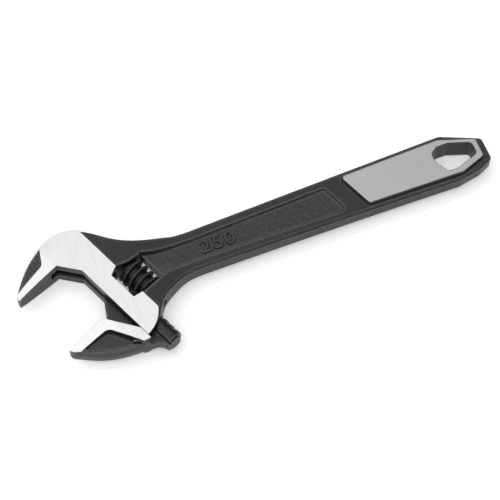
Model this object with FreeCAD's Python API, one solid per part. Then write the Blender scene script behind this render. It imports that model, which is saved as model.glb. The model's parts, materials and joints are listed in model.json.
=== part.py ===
import FreeCAD, Part
import math
import os

V = FreeCAD.Vector

# Overall sizes, millimetres and degrees
handle_length = 225.2      # jaw origin to tail end, along the handle
head_thickness = 16.0      # ground flat to ground flat
jaw_angle = 22.5           # jaw faces against the handle axis
head_rise = 19.3           # jaw origin above the handle axis
neck_half = 11.0           # handle axis to its upper edge where the neck ends
neck_belly = 11.0          # and to its lower edge there
tail_half = 14.0           # half width of the handle at the tail
upper_swell = 0.53         # share of the widening reached halfway, upper edge
lower_swell = 0.38         # and lower edge
neck_end = 64.0            # where neck curves meet the handle

# Fixed jaw and slide arm, in the slide frame (w = opening direction, u = across)
jaw_reach = 33.2           # slide face to jaw tips
jaw_face = 0.3             # fixed gripping face, along the slide
throat_reach = 7.4         # slide face to throat corner
throat_depth = 11.3
arm_width = 14.0
arm_length = 60.3
jaw_strip = 5.1            # ground strip along the fixed jaw, at its root
jaw_strip_tip = 2.7        # and at its tip
strip_end = 12.6           # reach where the fixed strip widens into the head
tip_thickness = 8.4
taper_start = 8.0          # reach where both jaws start to thin

# Moving jaw and rack
opening = 37.5             # jaw gap as modelled, wide open
closed_gap = 0.3
slide_gap = 0.2            # jaw flank to arm flank
moving_strip = 6.1         # ground strip along the moving jaw, at its root
moving_strip_tip = 4.7     # and at its tip
side_draft = 0.09          # lean of the moving jaw's outer side
web_thickness = 5.6
web_gap = 0.2
rack_radius = 5.4
rack_axis = 8.4            # rack centre from the slide face
rack_fit = 0.05
rack_length = 33.0         # past the moving jaw's face
rack_back = 2.0            # behind the moving jaw's face
rack_flat = 5.5            # web faces run this far into the rack
rack_nose = 3.0
rack_chamfer = 1.1

# Worm, pin and spring
pitch = 4.2
worm_radius = 7.5
thread_depth = 1.9
worm_start = 24.7
worm_length = 15.3
worm_play = 1.0            # room for the spring, below the worm
worm_side = 1.3            # worm to the window's right wall
first_groove = 30.3        # a thread groove's middle, along the slide
ridge_crest = 1.1
ridge_root = 2.1
tooth_gap = 0.2            # along the rack, each side of the ridge
depth_gap = 0.3            # worm crests to rack roots
crest_gap = 0.1            # rack crests to worm roots
pin_radius = 1.9
pin_fit = 0.05
pin_seat = 0.02
spring_wire = 0.4
spring_radius = 3.0
spring_turns = 4
spring_bore = 0.5          # round the spring, in the worm's end
spring_bore_depth = 4.0
pin_start = 15.0
pin_head = 2.2
pin_grip = 4.5             # window to the pin's head
pin_head_length = 3.7

# Handle section, panels and hanging land
neck_thickness = 15.4
waist_thickness = 10.1
tail_thickness = 8.6
handle_round = 1.1
panel_floor = 3.5
panel_draft = 0.3          # wall lean, for each millimetre of height
panel_foot = 0.9
panel_end = 84.9           # from the tail end
land_height = 6.9
land_start = 74.2          # from the tail end
land_margin = 3.05
land_draft = 0.9
pocket_fixed = 7.0         # floor height at the throat end of the pocket
pocket_fixed_tip = 3.9     # and at its tip end
pocket_moving = 4.1
rim_height = 5.1           # rim left along the moving jaw's outer side
rim_width = 2.3
pocket_draft = 1.2         # wall foot outside its top edge
pocket_foot = 0.8

half = head_thickness / 2
travel = opening - closed_gap
grip = jaw_face + opening
rack_end = grip + rack_length
rack_start = grip - rack_back
worm_root = worm_radius - thread_depth
worm_axis = rack_axis + rack_radius + crest_gap + worm_root
worm_end = worm_start + worm_length
window_right = worm_axis + worm_radius + worm_side
window_bottom = worm_end + worm_play
slope = math.radians(jaw_angle)
S = V(math.sin(slope), -math.cos(slope), 0)
J = V(math.cos(slope), math.sin(slope), 0)
UP = V(0, 0, 1)


def at(w, u, z=0.0):
    return V(0, head_rise, z) + S * w + J * u


def spline(points, start=None, end=None):
    curve = Part.BSplineCurve()
    if start and end:
        curve.interpolate(points, InitialTangent=start, FinalTangent=end)
    else:
        curve.interpolate(points)
    return curve.toShape()


def polygon(points):
    return Part.makePolygon(points + points[:1])


def prism(wire, low, high):
    face = Part.Face(wire)
    face.translate(V(0, 0, low - face.BoundBox.ZMin))
    return face.extrude(V(0, 0, high - low))


def both_faces(cutter):
    return [cutter, cutter.mirror(V(0, 0, 0), UP)]


def upright_edges(shape, places, reach=0.6, lean=2.0):
    found = []
    for edge in shape.Edges:
        box = edge.BoundBox
        if box.ZLength > 0.5 and box.XLength < lean and box.YLength < lean:
            middle = box.Center
            if any(math.hypot(middle.x - p.x, middle.y - p.y) < reach for p in places):
                found.append(edge)
    return found


def handle_edge(side, start, swell):
    middle = 0.5 * (neck_end + tail_corner())
    bend = start + swell * (tail_half - start)
    arc = Part.Arc(V(neck_end, side * start, 0), V(middle, side * bend, 0),
                   V(tail_corner(), side * tail_half, 0))
    return arc.toShape()


def tail_corner():
    return handle_length - 20.7


def tail_points():
    end = handle_length
    return [V(tail_corner(), tail_half, 0), V(end, 4.7, 0), V(end, -8.2, 0),
            V(end - 8.0, -0.84 * tail_half, 0), V(tail_corner(), -tail_half, 0)]


def body_outline():
    tip = at(jaw_face, -jaw_reach)
    along = V(1, 0.01, 0)
    back = [at(jaw_face - 1.9, -jaw_reach + 0.2), at(-5.7, -27.3), at(-10.2, -18.5),
            at(-12.5, -10.8), at(-13.7, -2.3), at(-12.2, 6.1), at(-6.3, 14.2),
            V(23.4, 21.5, 0), V(37.5, 15.0, 0), V(50.3, 12.1, 0), V(neck_end, neck_half, 0)]
    belly = [at(54.2, 14.6), V(38.8, -19.2, 0), V(46.5, -14.5, 0), V(neck_end, -neck_belly, 0)]
    foot = [at(arm_length, 0.4), at(58.6, 7.5), at(54.2, 14.6)]
    throat = [tip, at(jaw_face, -throat_reach), at(throat_depth, 0), at(arm_length, 0),
              at(arm_length, 0.4)]
    tail = tail_points()
    edges = [Part.makeLine(back[0], tip)]
    edges += [Part.makeLine(a, b) for a, b in zip(throat, throat[1:])]
    edges.append(Part.Arc(foot[0], foot[1], foot[2]).toShape())
    edges.append(spline(belly, J * 0.8 - S * 0.6, V(1, -0.01, 0)))
    edges.append(handle_edge(-1, neck_belly, lower_swell))
    edges += [Part.makeLine(a, b) for a, b in zip(tail, tail[1:])]
    edges.append(handle_edge(1, neck_half, upper_swell))
    edges.append(spline(back, S * -0.8 + J * 0.9, along))
    return Part.Wire(Part.__sortEdges__(edges))


def thickness_profile():
    neck, waist, tail = neck_thickness / 2, waist_thickness / 2, tail_thickness / 2
    fall = (waist - tail) / (handle_length - neck_end)
    points = [V(14, 0, neck), V(31, 0, neck - 0.5), V(46, 0, waist + 0.75),
              V(neck_end, 0, waist)]
    top = spline(points, V(1, 0, 0), V(1, 0, -fall))
    end = V(handle_length + 10, 0, waist - fall * (handle_length + 10 - neck_end))
    start = V(-60, 0, neck)
    low = [V(p.x, 0, -p.z) for p in (start, end)]
    bottom = top.mirror(V(0, 0, 0), UP)
    edges = [Part.makeLine(start, points[0]), top, Part.makeLine(points[-1], end),
             Part.makeLine(end, low[1]),
             Part.makeLine(low[1], V(neck_end, 0, -waist)), bottom,
             Part.makeLine(V(14, 0, -neck), low[0]), Part.makeLine(low[0], start)]
    face = Part.Face(Part.Wire(Part.__sortEdges__(edges)))
    face.translate(V(0, -80, 0))
    return face.extrude(V(0, 160, 0))


def handle_blank(outline):
    shape = prism(outline, -half, half)
    corners = tail_points()
    blank = shape.common(thickness_profile())
    blank = blank.makeFillet(6.0, upright_edges(blank, [corners[0], corners[3], corners[4]]))
    blank = blank.makeFillet(2.4, upright_edges(blank, [corners[1], corners[2]]))
    rims = []
    for edge in blank.Edges:
        box = edge.BoundBox
        flat = box.ZLength < 2.9 and box.Center.x > 30
        if flat and abs(box.Center.z) > 3 and box.XLength + box.YLength > 1:
            if box.XMin > 33 and max(abs(box.YMin), abs(box.YMax)) > 5:
                rims.append(edge)
    return blank.makeFillet(handle_round, rims)


def head_blank(outline):
    """The ground head, which ends short of the forging at the arm's lower corner."""
    ground = polygon([at(-40, -60), at(-40, arm_width), at(80, arm_width), at(80, -60)])
    past = arm_width + 0.6             # clear of the ground edge, which cuts it later
    corner = [at(arm_length, 0.4), at(57.3, 9.2), at(51.8, past)]
    far = [at(-50, past), at(-50, -70), at(arm_length, -70)]
    edges = [Part.Arc(corner[0], corner[1], corner[2]).toShape(),
             Part.makeLine(corner[2], far[0]), Part.makeLine(far[0], far[1]),
             Part.makeLine(far[1], far[2]), Part.makeLine(far[2], corner[0])]
    head = prism(outline, -half, half).common(prism(ground, -half, half))
    return head.common(prism(Part.Wire(edges), -half, half))


def fixed_pocket():
    lean = (jaw_strip - jaw_strip_tip) / (jaw_reach - strip_end)
    points = [at(-jaw_strip + 30 * lean, -strip_end - 30), at(-jaw_strip, -strip_end),
              at(-18, -3.9), at(-40, -20)]
    cutter = prism(polygon(points), pocket_fixed, half + 4)
    cutter = cutter.makeFillet(3.5, upright_edges(cutter, points[1:2]))
    cutter = cutter.makeFillet(pocket_foot, edges_at(cutter, pocket_fixed))
    tilt = math.degrees(math.atan((pocket_fixed - pocket_fixed_tip) / (jaw_reach - 7.0)))
    cutter.rotate(at(0, -7.0, pocket_fixed), S, tilt)
    return cutter


def edges_at(shape, z):
    found = []
    for edge in shape.Edges:
        box = edge.BoundBox
        if abs(box.ZMin - z) < 0.05 and abs(box.ZMax - z) < 0.05:
            found.append(edge)
    return found


def jaw_taper(w_low, w_high):
    tip = tip_thickness / 2
    fall = half - tip
    span = jaw_reach - taper_start
    curve = [at(w_low, -taper_start, half), at(w_low, -taper_start - 0.48 * span, half - 0.32 * fall),
             at(w_low, -taper_start - 0.76 * span, half - 0.61 * fall), at(w_low, -jaw_reach, tip),
             at(w_low, -jaw_reach - 4, tip - 1.9)]
    top = [at(w_low, -jaw_reach - 4, half + 3), at(w_low, -taper_start, half + 3)]
    edges = [spline(curve), Part.makeLine(curve[-1], top[0]), Part.makeLine(top[0], top[1]),
             Part.makeLine(top[1], curve[0])]
    return Part.Face(Part.Wire(edges)).extrude(S * (w_high - w_low))


def rod(radius, w_low, w_high, u):
    return Part.makeCylinder(radius, w_high - w_low, at(w_low, u), S)


def rack_bore():
    end = rack_start - travel - 0.4
    radius = rack_radius + rack_fit
    bore = rod(radius, end, arm_length + 20, rack_axis)
    tip = Part.makeCone(radius, radius - rack_nose - 0.3, rack_nose + 0.3,
                        at(end, rack_axis), S * -1)
    return bore.fuse(tip)


def web_slot():
    top = web_thickness / 2 + web_gap
    points = [at(-11.3, 0.6), at(-0.6, -11.0), at(30, -42), at(90, -42), at(90, rack_axis),
              at(-5.6, rack_axis)]
    return prism(polygon(points), -top, top)


def worm_window():
    near = arm_width - 5.2
    points = [at(worm_start - 1.1, near), at(worm_start - 3.4, arm_width),
              at(worm_start - 1.1, worm_axis + 0.5), at(worm_start - 0.4, window_right),
              at(window_bottom, window_right), at(window_bottom + 0.3, arm_width + 0.4),
              at(window_bottom - 0.8, near)]
    return prism(polygon(points), -half - 1, half + 1)


def pin_holes():
    shoulder = window_bottom + pin_grip
    shank = rod(pin_radius + pin_seat, pin_start - 0.4, shoulder, worm_axis)
    head = rod(pin_head + pin_seat, shoulder - 0.1, shoulder + 15, worm_axis)
    return shank.fuse(head)


def panel_wire(inset, z):
    right = handle_length - panel_end
    rise = 5.9 - inset
    far = 8.1 - inset
    lean = math.tan(slope)
    upper = spline([V(34.6, 8.0 - inset, z), V(41, 6.5 - inset, z), V(50, rise + 0.05, z),
                    V(62, rise, z)])
    lower = spline([V(39.5, -8.5 + inset, z), V(46, -6.4 + inset, z), V(54, -rise - 0.1, z),
                    V(62, -rise, z)])
    a = V(right - lean * far - inset, far, z)
    b = V(right + lean * far - inset, -far, z)
    edges = [upper, Part.makeLine(V(62, rise, z), a), Part.makeLine(a, b),
             Part.makeLine(b, V(62, -rise, z)), lower,
             Part.makeLine(V(39.5, -8.5 + inset, z), V(34.6, 8.0 - inset, z))]
    return Part.Wire(Part.__sortEdges__(edges))


def panel_recess():
    low, high = panel_wire(0.45, panel_floor), panel_wire(0.45 - 5 * panel_draft, panel_floor + 5)
    cutter = Part.makeLoft([low, high], True, True)
    corners = []
    for edge in cutter.Edges:
        box = edge.BoundBox
        if box.ZLength > 2 and box.Center.x > 120:
            corners.append(edge)
    cutter = cutter.makeFillet(2.2, corners)
    return cutter.makeFillet(panel_foot, edges_at(cutter, panel_floor))


def land_wire(grow, z):
    start = handle_length - land_start
    lean = math.tan(slope)
    near = neck_half + 0.55 * (tail_half - neck_half) - land_margin + grow
    far = tail_half - land_margin + grow
    end = handle_length - 4.2 + grow
    upper = tail_corner() - 2.2 + 0.2 * grow
    lower = tail_corner() + 3.2 + 0.2 * grow
    points = [V(start - lean * near - grow, near, z), V(upper, far - 0.2, z), V(end, 4.1, z),
              V(end, -6.3, z), V(lower, -far, z), V(start + lean * near - grow, -near, z)]
    return polygon(points)


def hanging_land():
    low = tail_thickness / 2 - 1.0
    land = Part.makeLoft([land_wire(land_draft, low), land_wire(0, land_height)], True, True)
    corners = []
    for edge in land.Edges:
        if edge.BoundBox.ZLength > 2:
            corners.append(edge)
    return land.makeFillet(1.6, corners)


def hang_hole():
    end = handle_length
    points = [V(end - 28.9, 4.4, 0), V(end - 25.0, 7.1, 0), V(end - 18.6, 7.1, 0),
              V(end - 7.0, 3.0, 0), V(end - 6.8, -3.7, 0), V(end - 18.6, -7.9, 0),
              V(end - 24.8, -7.9, 0), V(end - 28.9, -0.6, 0)]
    hole = prism(polygon(points), -half - 1, half + 1)
    hole = hole.makeFillet(2.2, upright_edges(hole, points))
    ring = hole.slice(UP, 0)[0]
    outer = Part.Wire(ring).makeOffset2D(0.3)
    inner = Part.Wire(ring)
    outer.translate(V(0, 0, land_height + 0.01))
    inner.translate(V(0, 0, land_height - 0.3))
    rim = Part.makeLoft([inner, outer], True, True)
    return [hole] + both_faces(rim)


def make_body():
    outline = body_outline()
    body = handle_blank(outline).fuse(head_blank(outline))
    body = body.fuse(both_faces(hanging_land()))
    cuts = both_faces(fixed_pocket()) + both_faces(jaw_taper(-30, 10))
    cuts += both_faces(panel_recess()) + hang_hole()
    cuts += [rack_bore(), web_slot(), worm_window(), pin_holes()]
    for cutter in cuts:
        body = body.cut(cutter)
    return body


def jaw_back(inset):
    points = [(1.3, 0.2 - jaw_reach), (4.5, -31.1), (8.7, -27.5), (15.6, -20.3),
              (21.0, -11.6), (24.6, -2.4)]
    return [at(grip + w - 0.8 * inset, u + 0.6 * inset) for w, u in points]


def jaw_outline():
    flank = -slide_gap
    back = jaw_back(0)
    edges = [Part.makeLine(at(grip, -jaw_reach), at(grip, -10.6)),
             Part.makeLine(at(grip, -10.6), at(grip + 17.4, flank)),
             Part.makeLine(at(grip + 17.4, flank), at(grip + 24.6, flank)),
             Part.makeLine(at(grip + 24.6, flank), back[-1]),
             spline(back), Part.makeLine(back[0], at(grip, -jaw_reach))]
    return Part.Wire(Part.__sortEdges__(edges))


def outer_side():
    """The moving jaw's outer side leans in both ways from a parting line at mid height."""
    wires = []
    for height, inset in ((0, 0), (half + 1, (half + 1) * side_draft)):
        back = jaw_back(inset)
        back = [back[0] - J * 8 - S * 2] + back[1:-1] + [back[-1] + J * 8 + S * 3]
        far = [at(grip - 30, 20), at(grip - 30, -60)]
        edges = [spline(back), Part.makeLine(back[-1], far[0]), Part.makeLine(far[0], far[1]),
                 Part.makeLine(far[1], back[0])]
        wire = Part.Wire(edges)
        wire.translate(UP * height)
        wires.append(wire)
    upper = Part.makeLoft(wires, True, True)
    return upper.fuse(upper.mirror(V(0, 0, 0), UP))


def pocket_wire(foot, z):
    root, tip = grip + moving_strip + 0.2 * foot, grip + moving_strip_tip + 0.2 * foot
    corner = -12.2 - 0.9 * foot
    points = [at(tip - 1.2, -50, z), at(tip, -jaw_reach, z), at(root, corner, z),
              at(grip + 26.6, -2.6 - 0.9 * foot, z), at(grip + 60, -20, z)]
    return polygon(points)


def moving_pocket():
    rise = half - pocket_moving
    grow = pocket_draft * 4 / rise
    cutter = Part.makeLoft([pocket_wire(pocket_draft, pocket_moving),
                            pocket_wire(-grow, half + 4)], True, True)
    corner = [at(grip + moving_strip, -12.2)]
    cutter = cutter.makeFillet(4.5, upright_edges(cutter, corner, 3.0, 4.0))
    return cutter.makeFillet(pocket_foot, edges_at(cutter, pocket_moving))


def outer_rim():
    """Room for the rim that the pocket leaves along the moving jaw's outer side."""
    back = jaw_back(rim_width)
    back = [back[0] - J * 8 - S * 2] + back[1:-1] + [back[-1] + J * 8 + S * 3]
    far = [at(grip + 60, 10), at(grip + 60, -70)]
    edges = [spline(back), Part.makeLine(back[-1], far[0]), Part.makeLine(far[0], far[1]),
             Part.makeLine(far[1], back[0])]
    return prism(Part.Wire(edges), pocket_moving - 1, rim_height)


def jaw_web():
    top = web_thickness / 2
    points = [at(grip - 11.3, 0), at(grip + 0.3, -8.2), at(grip + 19.7, -12),
              at(grip + 23.1, -3), at(grip + 26.4, -1.2), at(grip + 28.2, 1.8),
              at(grip + 30.2, 3.1), at(rack_end, 4.2), at(rack_end, rack_axis),
              at(grip - 3.3, rack_axis)]
    return prism(polygon(points), -top, top)


def jaw_heel():
    """The slope from the moving jaw's full thickness down to its web."""
    plan = [at(grip + 20, -8), at(grip + 24.2, -3), at(grip + 26.4, -1.2),
            at(grip + 26.9, -slide_gap), at(grip + 20, -slide_gap)]
    low, web = half - 0.6, web_thickness / 2
    wedge = [at(grip + 20, -20, -low), at(grip + 22.8, -20, -low), at(grip + 27, -20, -web),
             at(grip + 27, -20, web), at(grip + 22.8, -20, low), at(grip + 20, -20, low)]
    slope = Part.Face(polygon(wedge)).extrude(J * 25)
    return prism(polygon(plan), -half, half).common(slope)


def rack():
    blank = rod(rack_radius, rack_start, rack_end - rack_chamfer, rack_axis)
    nose = Part.makeCone(rack_radius, rack_radius - rack_nose, rack_nose,
                         at(rack_start, rack_axis), S * -1)
    tail = Part.makeCone(rack_radius, rack_radius - rack_chamfer, rack_chamfer,
                         at(rack_end - rack_chamfer, rack_axis), S)
    bar = blank.fuse([nose, tail])
    step = web_thickness / 2
    side = [at(0, -5), at(90, -5), at(90, rack_flat), at(0, rack_flat)]
    for cutter in both_faces(prism(polygon(side), step, 20)):
        bar = bar.cut(cutter)
    return bar


def rack_groove(middle):
    crest = rack_axis + rack_radius
    mouth = worm_axis - worm_radius - depth_gap
    wide = ridge_at(worm_axis - crest) / 2 + tooth_gap
    narrow = ridge_at(worm_axis - mouth) / 2 + tooth_gap
    flare = (wide - narrow) / (crest - mouth)
    outer = crest + 2.0
    wide += flare * 2.0
    lean = -pitch / (2 * math.pi * 6.4)
    low = -8.0
    shift = lean * low
    points = [at(middle - narrow + shift, mouth, low), at(middle + narrow + shift, mouth, low),
              at(middle + wide + shift, outer, low), at(middle - wide + shift, outer, low)]
    return Part.Face(polygon(points)).extrude(S * (-2 * shift) + V(0, 0, 16.0))


def ridge_at(radius):
    part = (radius - worm_root) / (worm_radius - worm_root)
    return ridge_root + (ridge_crest - ridge_root) * part


def ridge_middle(turn):
    return first_groove + pitch * (turn + 0.5)


def make_jaw():
    jaw = prism(jaw_outline(), -half, half)
    jaw = jaw.makeFillet(2.0, upright_edges(jaw, [at(grip, -10.6)]))
    jaw = jaw.makeFillet(0.9, upright_edges(jaw, [jaw_back(0)[0]]))
    jaw = jaw.common(outer_side())
    pocket = moving_pocket().cut(outer_rim())
    for cutter in both_faces(pocket) + both_faces(jaw_taper(20, 80)):
        jaw = jaw.cut(cutter)
    bar = rack()
    jaw = jaw.fuse([jaw_web(), jaw_heel(), bar])
    count = int((rack_end - grip) / pitch) + 3
    for turn in range(-2, count):
        middle = ridge_middle(turn)
        if grip - 4.0 < middle < rack_end - 0.4:
            jaw = jaw.cut(rack_groove(middle))
    return jaw


def along_slide(w):
    return FreeCAD.Placement(at(w, worm_axis), FreeCAD.Rotation(J, V(0, 0, 1), S, "ZXY"))


def worm_ridge():
    radius = worm_root - 0.3
    turns = int(worm_length / pitch) + 3
    wide, thin = ridge_at(radius) / 2, ridge_crest / 2
    helix = Part.makeHelix(pitch, pitch * turns, radius)
    profile = polygon([V(radius, 0, -wide), V(worm_radius, 0, -thin), V(worm_radius, 0, thin),
                       V(radius, 0, wide)])
    return Part.Wire(helix).makePipeShell([profile], True, True)


def make_worm():
    """Built upright about its own axis, longer than it is, and then cut to its length."""
    start = first_groove - pitch * 3
    low, wide = worm_start - start, 4 * worm_radius
    slab = Part.makeBox(wide, wide, worm_length, V(-wide / 2, -wide / 2, low))
    core = Part.makeCylinder(worm_root, worm_length + 8 * pitch, V(0, 0, -2 * pitch))
    core.rotate(V(0, 0, 0), UP, 100)               # turns its seam clear of the thread's ends
    worm = core.fuse(worm_ridge()).common(slab)
    worm = worm.cut(Part.makeCylinder(pin_radius + pin_fit, worm_length + 2, V(0, 0, low - 1)))
    bore = spring_radius + spring_wire + spring_bore
    worm = worm.cut(Part.makeCylinder(bore, spring_bore_depth + 1,
                                      V(0, 0, low + worm_length - spring_bore_depth)))
    worm.Placement = along_slide(start)
    return worm


def make_pin():
    shoulder = window_bottom + pin_grip
    shank = rod(pin_radius, pin_start, shoulder + 0.5, worm_axis)
    head = rod(pin_head, shoulder, shoulder + pin_head_length, worm_axis)
    pin = shank.fuse(head)
    slot = Part.makeBox(0.8, 8, 1.0)
    slot.translate(V(-0.4, -4, 0))
    slot.Placement = along_slide(shoulder + pin_head_length - 0.9) * slot.Placement
    return pin.cut(slot)


def make_spring():
    low = worm_end - spring_bore_depth + 0.15
    high = window_bottom - 0.1
    rise = (high - low) / spring_turns
    helix = Part.makeHelix(rise, high - low + rise / 2, spring_radius)
    ring = Part.Wire(Part.makeCircle(spring_wire, V(spring_radius, 0, 0), V(0, 1, 0)))
    coil = Part.Wire(helix).makePipeShell([ring], True, True)
    coil.translate(V(0, 0, -rise / 4))
    coil = coil.common(Part.makeCylinder(spring_radius + 1, high - low))
    coil.Placement = along_slide(low)
    return coil


def export(parts):
    box = FreeCAD.BoundBox()
    for shape in parts.values():
        box.add(shape.optimalBoundingBox(False))
    shift = V(-box.Center.x, -box.Center.y, -box.ZMin)
    os.makedirs("parts", exist_ok=True)
    for name, shape in parts.items():
        solid = shape.Solids[0]
        solid.translate(shift)
        solid.exportStep("parts/" + name + ".step")
        print(name, len(shape.Solids), solid.isValid(), round(solid.Volume, 1))
    origin = at(0, 0) + shift
    print("jaw origin", origin, "size", box.XLength, box.YLength, box.ZLength)


export({
    "wrench_body": make_body(),
    "movable_jaw": make_jaw(),
    "worm_screw": make_worm(),
    "worm_pin": make_pin(),
    "worm_spring": make_spring(),
})
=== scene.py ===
import json
import math

import bpy
from mathutils import Matrix, Vector


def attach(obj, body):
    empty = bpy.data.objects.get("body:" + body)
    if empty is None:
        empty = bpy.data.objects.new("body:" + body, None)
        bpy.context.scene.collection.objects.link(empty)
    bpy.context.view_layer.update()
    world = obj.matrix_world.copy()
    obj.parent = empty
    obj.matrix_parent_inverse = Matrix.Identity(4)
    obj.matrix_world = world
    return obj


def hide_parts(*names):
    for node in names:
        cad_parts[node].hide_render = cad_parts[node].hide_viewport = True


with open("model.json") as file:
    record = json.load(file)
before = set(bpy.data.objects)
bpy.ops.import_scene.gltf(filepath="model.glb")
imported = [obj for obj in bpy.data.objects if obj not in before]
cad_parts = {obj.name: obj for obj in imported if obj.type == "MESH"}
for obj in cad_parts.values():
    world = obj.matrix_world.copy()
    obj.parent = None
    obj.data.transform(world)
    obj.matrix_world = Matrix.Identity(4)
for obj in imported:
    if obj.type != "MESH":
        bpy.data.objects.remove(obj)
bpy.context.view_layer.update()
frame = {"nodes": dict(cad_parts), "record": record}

mm = 0.001

# Table and light
# A plain white table under a soft sky, bright overhead and dim at the horizon, with
# a wide weak sun behind the tool on its left for short shadows forward to the right.

scene = bpy.context.scene
scene.view_settings.view_transform = "Standard"

looked_at = Vector((-8.21 * mm, -2.88 * mm, 8.0 * mm))
view_distance = 1.0256
azimuth, elevation = math.radians(-22.0), math.radians(64.0)
view_back = Vector((math.sin(azimuth) * math.cos(elevation),
                    -math.cos(azimuth) * math.cos(elevation), math.sin(elevation)))
camera_data = bpy.data.cameras.new("camera")
camera_data.lens, camera_data.sensor_width = 144.0, 36.0
camera_data.clip_start, camera_data.clip_end = 0.01, 20.0
camera = bpy.data.objects.new("camera", camera_data)
scene.collection.objects.link(camera)
camera.location = looked_at + view_back * view_distance
camera.rotation_mode = "QUATERNION"
camera.rotation_quaternion = (-view_back).to_track_quat("-Z", "Y")
scene.camera = camera


class Signal:
    """One socket of a material's nodes; sums and comparisons on it add Math nodes."""

    def __init__(self, tree, socket=None):
        self.tree, self.socket = tree, socket

    def node(self, kind, inputs=None, output=0, **settings):
        """Adds any node: its settings first, then the values or links of its sockets."""
        made = self.tree.nodes.new(kind)
        for name, value in settings.items():
            setattr(made, name, value)
        for name, value in (inputs or {}).items():
            if isinstance(value, Signal):
                self.tree.links.new(value.socket, made.inputs[name])
            else:
                made.inputs[name].default_value = value
        return Signal(self.tree, made.outputs[output])

    def math(self, operation, *values):
        return self.node("ShaderNodeMath", dict(enumerate(values)), operation=operation)

    def __add__(self, other):
        return self.math("ADD", self, other)

    def __sub__(self, other):
        return self.math("SUBTRACT", self, other)

    def __rsub__(self, other):
        return self.math("SUBTRACT", other, self)

    def __mul__(self, other):
        return self.math("MULTIPLY", self, other)

    def __gt__(self, other):
        return self.math("GREATER_THAN", self, other)

    def __lt__(self, other):
        return self.math("LESS_THAN", self, other)

    def __abs__(self):
        return self.math("ABSOLUTE", self)

    __radd__, __rmul__ = __add__, __mul__

    def either(self, other):
        """The larger of two masks."""
        return self.math("MAXIMUM", self, other)

    def root(self):
        return self.math("SQRT", self)

    def ramp(self, low, high, start=0.0, end=1.0):
        """Runs from start to end, smoothly, as this goes from low to high."""
        return self.node("ShaderNodeMapRange", {0: self, 1: low, 2: high, 3: start, 4: end},
                         interpolation_type="SMOOTHSTEP")

    def blend(self, first, second):
        """The first colour where this is 0 and the second where it is 1."""
        return self.node("ShaderNodeMix", {0: self, 6: first, 7: second}, 2, data_type="RGBA")

    def tint(self, red, green, blue):
        """A colour of this brightness."""
        return self.node("ShaderNodeCombineColor", {0: self * red, 1: self * green,
                         2: self * blue})

    def dot(self, vector):
        return self.node("ShaderNodeVectorMath", {0: self, 1: vector}, 1,
                         operation="DOT_PRODUCT")

    def part(self, axis):
        """One coordinate of a place or a normal: 0, 1 or 2."""
        return self.node("ShaderNodeSeparateXYZ", {0: self}, axis)

    def noise(self, scale, detail=2.0, roughness=0.5):
        return self.node("ShaderNodeTexNoise", {"Vector": self, "Scale": scale,
                         "Detail": detail, "Roughness": roughness})

    def stretched(self, scale, turn=0.0):
        """Places for a streaky noise, turned about the upright axis."""
        return self.node("ShaderNodeMapping", {"Vector": self, "Rotation": (0, 0, turn),
                         "Scale": scale})


def new_material(name):
    material = bpy.data.materials.new(name)
    material.use_nodes = True
    tree = material.node_tree
    return material, Signal(tree), tree.nodes["Principled BSDF"]


def feed(signal, shader, **sockets):
    """Links signals, or sets values, on a shader's sockets, spaces written as underscores."""
    for name, value in sockets.items():
        socket = shader.inputs[name.replace("_", " ")]
        if isinstance(value, Signal):
            signal.tree.links.new(value.socket, socket)
        else:
            socket.default_value = value


table_size, table_tone = 6.0, 0.84
white_lift = 0.36                    # takes the lit table up to plain white where it is seen

bpy.ops.object.select_all(action="DESELECT")
bpy.ops.mesh.primitive_plane_add(size=table_size, location=(0, 0, 0))
floor = bpy.context.object
floor.name = "floor"
floor_white, paint, shader = new_material("floor_white")
feed(paint, shader, Base_Color=(table_tone, table_tone, table_tone, 1), Roughness=0.9,
     Specular_IOR_Level=0.0)
camera_ray = paint.node("ShaderNodeLightPath", output="Is Camera Ray")
seen = camera_ray.either(paint.node("ShaderNodeLightPath", output="Is Glossy Ray"))
feed(paint, shader, Emission_Color=(seen * white_lift).tint(1.0, 1.0, 1.0),
     Emission_Strength=1.0)
floor.data.materials.append(floor_white)

overhead = (-0.1, -0.12, 0.988)      # the brightest part of the sky
horizon_light, overhead_light = 0.08, 1.35
world = bpy.data.worlds.new("studio")
scene.world = world
world.use_nodes = True
sky = Signal(world.node_tree)
toward = sky.node("ShaderNodeTexCoord", output="Generated").dot(overhead)
sky_light = toward.ramp(0.45, 0.95, horizon_light, overhead_light)
feed(sky, world.node_tree.nodes["Background"], Color=sky_light.tint(1.0, 1.0, 1.0),
     Strength=1.0)

glow_direction = Vector((0.6, -0.75, -1.0))
glow_data = bpy.data.lights.new("sky_glow", "SUN")
glow_data.energy, glow_data.angle = 1.1, math.radians(95.0)
sky_glow = bpy.data.objects.new("sky_glow", glow_data)
scene.collection.objects.link(sky_glow)
sky_glow.rotation_mode = "QUATERNION"
sky_glow.rotation_quaternion = glow_direction.to_track_quat("-Z", "Y")

# Wrench body
# One steel forging under a black phosphate coat. The flats of the head, the taper
# of the fixed jaw and the land round the hanging hole are ground bright afterwards.

jaw_lean = math.radians(22.5)
jaw_corner = Vector((-97.05, 25.12, 8.0)) * mm       # the slide face meets the fixed jaw
across = Vector((math.cos(jaw_lean), math.sin(jaw_lean), 0.0))
down_slide = Vector((math.sin(jaw_lean), -math.cos(jaw_lean), 0.0))
mid_height = 8.0 * mm
head_flat, land_flat, panel_top = 7.93 * mm, 6.75 * mm, 3.8 * mm     # off the middle
taper_start = 7.4 * mm               # out from the slide face
fixed_step, fixed_step_fall = 8.517 * mm, 0.1346
land_start = 30.0 * mm               # along the handle


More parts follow.
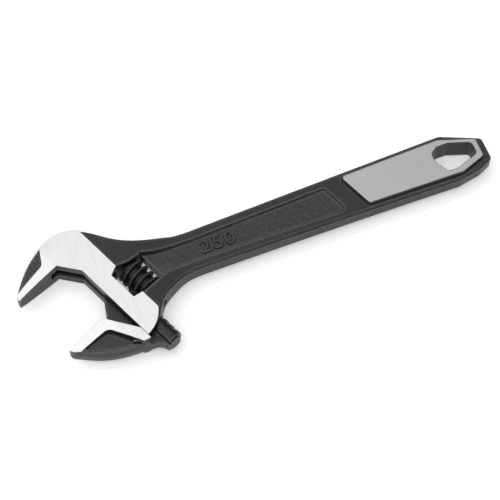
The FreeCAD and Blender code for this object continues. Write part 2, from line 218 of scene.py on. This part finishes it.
def forged_finish(name, grounds, tone=1.0, edge_wear_and_sheen=0.5):
    """Black phosphate, thin on the edges, where it is also lightened as a painted highlight,
    and darkened in its crevices as painted shade; bright or brushed where the masks say so. A
    higher tone is a greyer black, and the last argument is how much worn steel and painted
    highlight show at its edges."""
    material, paint, shader = new_material(name)
    place = paint.node("ShaderNodeTexCoord", output="Object")
    normal = paint.node("ShaderNodeTexCoord", output="Normal")
    edge_round, edge_reach, crevice_reach = 0.3 * mm, 2.4 * mm, 1.2 * mm
    round_edge = paint.node("ShaderNodeBevel", {"Radius": edge_round}, samples=6)
    soft_edge = paint.node("ShaderNodeBevel", {"Radius": edge_reach}, samples=10)
    edge = 1 - soft_edge.dot(paint.node("ShaderNodeNewGeometry", output="Normal"))
    grain = place.noise(2300.0, 2.0, 0.6)
    mottle = place.noise(620.0, 3.0, 0.65)
    cloud = place.noise(70.0, 3.0, 0.6)
    bright, brushed, raw = grounds(place, normal)
    bare = bright.either(brushed)
    # Painted shade: an occlusion mask darkens creases, corners and the feet of walls, where
    # shade falls.
    open_air = paint.node("ShaderNodeAmbientOcclusion", {"Distance": crevice_reach}, 1,
                          samples=10)
    crevice_shade = open_air.ramp(0.55, 0.94, 1.0, 0.0)

    # Convex edges lightened over a wide band: partly worn steel, partly a painted highlight
    # along the rims.
    wear_and_highlight = edge.ramp(0.0006, 0.035) * mottle.ramp(0.30, 0.62, 0.5, 1.0) * (1 - crevice_shade)
    shade = (0.003 + cloud * 0.004 + mottle * 0.010 + grain * 0.006) * tone
    speckle = place.noise(1250.0, 3.0, 0.8).ramp(0.48, 0.66)
    shade = shade + raw * (0.004 + speckle * 0.042)
    worn_and_lit_steel = (0.15, 0.148, 0.145, 1)
    black = (wear_and_highlight * edge_wear_and_sheen).blend(shade.tint(1.0, 1.0, 1.01), worn_and_lit_steel)
    smear = place.noise(110.0, 3.0, 0.6)
    scuff = place.stretched((420.0, 90.0, 1.0), 0.9).noise(1.0, 3.0, 0.7)
    ground = (0.44 + smear * 0.12 + scuff * 0.14).tint(1.0, 1.0, 0.985)
    stroke = place.stretched((140.0, 2600.0, 1.0)).noise(1.0, 3.0, 0.7)
    linished = (0.26 + smear * 0.08 + stroke * 0.13).tint(1.0, 1.0, 0.995)
    colour = bare.blend(black, brushed.blend(ground, linished))

    rough_black = 0.30 + mottle * 0.16 - wear_and_highlight * 0.06
    rough_bare = 0.32 + smear * 0.10 + stroke * 0.06 * brushed
    roughness = rough_black + (rough_bare - rough_black) * bare
    relief = (grain * (0.35 + raw * 0.5) + mottle * 0.9) * (1 - bare) + scuff * 0.08 * bright
    relief = relief + stroke * 0.25 * brushed
    grain_depth = 0.05 * mm
    bump = paint.node("ShaderNodeBump", {"Strength": 0.5, "Distance": grain_depth,
                      "Height": relief, "Normal": round_edge})
    feed(paint, shader, Base_Color=colour, Roughness=roughness, Metallic=bare, Normal=bump,
         Specular_IOR_Level=0.33)
    # The near-black diffuse mixed in over the crevices is painted shade, not a coat or dirt.
    painted_crease_shade = paint.node("ShaderNodeBsdfDiffuse", {"Color": (0.004, 0.004, 0.004, 1)})
    coat = Signal(paint.tree, shader.outputs[0])
    surface = paint.node("ShaderNodeMixShader", {0: crevice_shade * 0.9, 1: coat, 2: painted_crease_shade})
    feed(surface, paint.tree.nodes["Material Output"], Surface=surface)
    return material


def off_middle(place):
    """Height above or below the tool's middle plane."""
    return abs(place.part(2) - mid_height)


def lies_flat(normal):
    """A mask of what faces straight up or down, give or take a draft."""
    return abs(normal.part(2)) > 0.9


def outward(place):
    """How far out from the slide face, towards the jaws' tips."""
    return jaw_corner.dot(across) - place.dot(across)


def jaw_grounds(place, normal, step, step_fall):
    """The flats of the head, with the taper of a jaw above the middle of its pocket's
    wall, and then the pocket's raw floor below. The step falls towards the tip."""
    height, flat, reach = off_middle(place), lies_flat(normal), outward(place)
    above = height > step - reach * step_fall
    taper = reach > taper_start
    bright = (height > head_flat).either(taper * above) * flat
    return bright, taper * (1 - above) * flat


def body_grounds(place, normal):
    """The head with the fixed jaw, the brushed land, and the raw floors."""
    bright, raw = jaw_grounds(place, normal, fixed_step, fixed_step_fall)
    height, flat = off_middle(place), lies_flat(normal)
    land = (height > land_flat) * (place.part(0) > land_start) * flat
    panel = (height < panel_top) * flat
    return bright, land, raw.either(panel)


def dress(name, material):
    """Gives a carried node its one finish."""
    slots = frame["nodes"][name].data.materials
    slots.clear()
    slots.append(material)


dress("wrench_body", forged_finish("forged_body", body_grounds))

# Size mark
# The plain nominal size in raised figures on the panel's floor. They are sunk in the
# die and come up with the forging, so they are steel, black like the panel round them.

figure_height, figure_space, figure_stretch = 10.4 * mm, 1.10, 1.15
figure_rise, figure_bevel = 0.42 * mm, 0.16 * mm
mark_place = (-22.5 * mm, 5.7 * mm, mid_height + 3.5 * mm)
hair = 0.001 * mm                    # points closer than this are one

bpy.ops.object.text_add()
size_mark = bpy.context.object
size_mark.name = "size_mark"
letters = size_mark.data
letters.body = "250"
letters.align_x, letters.align_y = "CENTER", "CENTER"
letters.size, letters.space_character = figure_height, figure_space
letters.extrude, letters.bevel_depth = figure_rise, figure_bevel
bpy.ops.object.convert(target="MESH")
bpy.ops.object.mode_set(mode="EDIT")
bpy.ops.mesh.select_all(action="SELECT")
bpy.ops.mesh.remove_doubles(threshold=hair)
bpy.ops.mesh.normals_make_consistent(inside=False)
bpy.ops.transform.resize(value=(figure_stretch, 1.0, 1.0), center_override=(0, 0, 0))
bpy.ops.transform.translate(value=mark_place)
bpy.ops.object.mode_set(mode="OBJECT")


def nowhere(place):
    """A mask that is 0 all over, since nothing stands a metre high."""
    return place.part(2) > 1.0


def no_grounds(place, normal):
    never = nowhere(place)
    return never, never, never


size_mark.data.materials.append(forged_finish("forged_mark", no_grounds, 2.0, 0.1))
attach(size_mark, "base")

# Movable jaw
# The sliding hook jaw, its web and its round rack, forged and blackened in one
# piece. Only its flats and the strip along its gripping face are ground.

moving_step, moving_step_fall = 6.653 * mm, 0.0754
grip_face = 37.8 * mm                # along the slide, from the fixed jaw's corner
strip_width, strip_narrowing = 7.1 * mm, 0.067
hook_flat = 6.6 * mm                 # above this the whole top is ground


def hook_grounds(place, normal):
    """Bright on its strip along the gripping face; the pocket and its rim stay black."""
    bright, raw = jaw_grounds(place, normal, moving_step, moving_step_fall)
    behind = place.dot(down_slide) - jaw_corner.dot(down_slide) - grip_face
    strip = (strip_width - outward(place) * strip_narrowing) > behind
    high = off_middle(place) > hook_flat
    return bright * strip.either(high), nowhere(place), raw


dress("movable_jaw", forged_finish("forged_jaw", hook_grounds))

# Worm
# The thumb screw that moves the jaw: one thread turned on a steel rod, its crests
# knurled across for the thumb, then blackened. It is bored for the pin and spring.

pitch, turns = 4.2 * mm, 8
crest_radius, root_radius = 7.5 * mm, 5.6 * mm
crest_width, root_width = 1.1 * mm, 2.1 * mm
lip_width, knurl_depth, knurl_steps = 0.4 * mm, 0.28 * mm, 104
worm_low, worm_high = 24.7 * mm, 40.0 * mm           # along the slide
groove_place = 30.3 * mm             # the middle of a groove, where it faces the rack
thread_start = groove_place - 3 * pitch
worm_axis = 19.5 * mm                # in from the slide face
pin_bore, spring_bore, spring_bore_depth = 1.95 * mm, 3.9 * mm, 4.0 * mm
drill_length = 60.0 * mm

profile = [(root_radius, -root_width / 2), (crest_radius, -crest_width / 2),
           (crest_radius, crest_width / 2 - lip_width), (crest_radius, crest_width / 2),
           (root_radius, root_width / 2), (root_radius, pitch - root_width / 2)]
bpy.ops.object.select_all(action="DESELECT")
bpy.ops.mesh.primitive_plane_add(size=mm)
worm = bpy.context.object
worm.name = "knurled_worm"
bpy.ops.object.mode_set(mode="EDIT")
bpy.ops.mesh.merge(type="CENTER")
bpy.ops.transform.translate(value=(profile[0][0], 0.0, profile[0][1]))
for (radius, height), (next_radius, next_height) in zip(profile, profile[1:]):
    step = (next_radius - radius, 0.0, next_height - height)
    bpy.ops.mesh.extrude_region_move(TRANSFORM_OT_translate={"value": step})
bpy.ops.object.mode_set(mode="OBJECT")
wind = worm.modifiers.new("thread", "SCREW")
wind.angle, wind.screw_offset, wind.iterations = 2 * math.pi, pitch, turns
wind.steps = wind.render_steps = knurl_steps
wind.use_merge_vertices, wind.merge_threshold = True, hair
bpy.ops.object.modifier_apply(modifier=wind.name)
bpy.ops.object.mode_set(mode="EDIT")
bpy.ops.mesh.select_all(action="SELECT")
bpy.ops.mesh.remove_doubles(threshold=hair)
for cut, side in ((worm_low - thread_start, 1), (worm_high - thread_start, -1)):
    bpy.ops.mesh.select_all(action="SELECT")
    bpy.ops.mesh.bisect(plane_co=(0, 0, cut), plane_no=(0, 0, side), use_fill=True,
                        clear_inner=True)
bpy.ops.mesh.select_all(action="SELECT")
bpy.ops.mesh.normals_make_consistent(inside=False)
bpy.ops.mesh.select_all(action="DESELECT")
bpy.ops.mesh.select_mode(type="VERT")
bpy.ops.object.mode_set(mode="OBJECT")


def on_knurl(x, y, z):
    """Every other step of the thread's crest, except its lip, is pressed in."""
    angle = math.atan2(y, x)
    rise = (z - pitch * angle / (2 * math.pi) + pitch / 2) % pitch - pitch / 2
    on_crest = math.hypot(x, y) > crest_radius - 10 * hair
    return on_crest and rise < crest_width / 2 - hair and round(
        angle / (2 * math.pi) * knurl_steps) % 2 == 1


for vertex in worm.data.vertices:
    vertex.select = on_knurl(*vertex.co)
press = 1 - knurl_depth / crest_radius
bpy.ops.object.mode_set(mode="EDIT")
bpy.ops.transform.resize(value=(press, press, 1.0), center_override=(0, 0, 0))
bpy.ops.object.mode_set(mode="OBJECT")

spring_bore_low = worm_high - thread_start - spring_bore_depth
for name, radius, low in (("pin_bore", pin_bore, -mm),
                          ("spring_bore", spring_bore, spring_bore_low)):
    bpy.ops.mesh.primitive_cylinder_add(vertices=48, radius=radius, depth=drill_length,
                                        location=(0, 0, low + drill_length / 2))
    drill = bpy.context.object
    bore = worm.modifiers.new(name, "BOOLEAN")
    bore.object, bore.operation, bore.solver = drill, "DIFFERENCE", "EXACT"
    bpy.context.view_layer.objects.active = worm
    bpy.ops.object.modifier_apply(modifier=bore.name)
    bpy.data.objects.remove(drill)

worm_start = jaw_corner + across * worm_axis + down_slide * thread_start
turned = Matrix((across, (0, 0, 1), down_slide)).transposed().to_4x4()
worm.matrix_world = Matrix.Translation(worm_start) @ turned
bpy.ops.object.select_all(action="DESELECT")
worm.select_set(True)
bpy.ops.object.transform_apply(location=True, rotation=True, scale=True)
bpy.ops.object.shade_smooth_by_angle(angle=math.radians(32.0))


def worm_finish():
    """Black in the thread's grooves, rubbed grey along its crests and their knurl; the
    lighter crests and edges are partly a painted highlight.
    """
    material, paint, shader = new_material("knurled_black")
    place = paint.node("ShaderNodeTexCoord", output="Object")
    joints = frame["record"]["behaviour"]["joints"]
    spin = next(joint for joint in joints if joint["name"] == "worm_spin")
    from_pin = paint.node("ShaderNodeVectorMath", {0: place, 1: spin["pos_m"]},
                          operation="SUBTRACT")
    along = from_pin.dot(spin["axis"])
    far = paint.node("ShaderNodeVectorMath", {0: from_pin}, 1, operation="LENGTH")
    radius = (far * far - along * along).root()
    grain = place.noise(2600.0, 2.0, 0.6)
    mottle = place.noise(700.0, 3.0, 0.65)
    edge_round, rub_depth, grain_depth = 0.12 * mm, 0.5 * mm, 0.04 * mm
    crest = radius.ramp(crest_radius - rub_depth, crest_radius)
    round_edge = paint.node("ShaderNodeBevel", {"Radius": edge_round}, samples=6)
    edge = 1 - round_edge.dot(paint.node("ShaderNodeNewGeometry", output="Normal"))
    # Lighter crests and edge glints over black grooves: partly rubbed steel, partly painted
    # highlight and painted shade.
    rub_and_highlight = (edge.ramp(0.02, 0.2) * 0.45 + 0.2) * crest * mottle.ramp(0.3, 0.6)
    shade = 0.004 + mottle * 0.006 + grain * 0.004 + crest * 0.012
    rubbed_and_lit_steel = (0.20, 0.198, 0.194, 1)
    colour = rub_and_highlight.blend(shade.tint(1.0, 1.0, 1.01), rubbed_and_lit_steel)
    bump = paint.node("ShaderNodeBump", {"Strength": 0.4, "Distance": grain_depth,
                      "Height": grain, "Normal": round_edge})
    feed(paint, shader, Base_Color=colour, Roughness=0.5 - crest * 0.1, Metallic=rub_and_highlight * 0.6,
         Normal=bump, Specular_IOR_Level=0.25)
    return material


worm.data.materials.clear()
worm.data.materials.append(worm_finish())
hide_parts("worm_screw")
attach(worm, "worm")

# Pin and spring
# The pin that the worm turns on, oiled black with a driver slot in its head, and
# the bare wire spring that takes up the worm's end play.

dress("worm_pin", forged_finish("oiled_pin", no_grounds, 1.3, 0.3))


def spring_finish():
    """Bare drawn wire, lightly stained."""
    material, paint, shader = new_material("spring_wire")
    place = paint.node("ShaderNodeTexCoord", output="Object")
    stain = place.noise(900.0, 3.0, 0.6)
    fine = place.noise(3800.0, 2.0, 0.5)
    draw_depth = 0.02 * mm
    bump = paint.node("ShaderNodeBump", {"Strength": 0.3, "Distance": draw_depth,
                      "Height": fine})
    feed(paint, shader, Base_Color=(0.34 + stain * 0.22).tint(1.0, 0.985, 0.96),
         Roughness=0.26 + stain * 0.16, Metallic=1.0, Normal=bump)
    return material


dress("worm_spring", spring_finish())
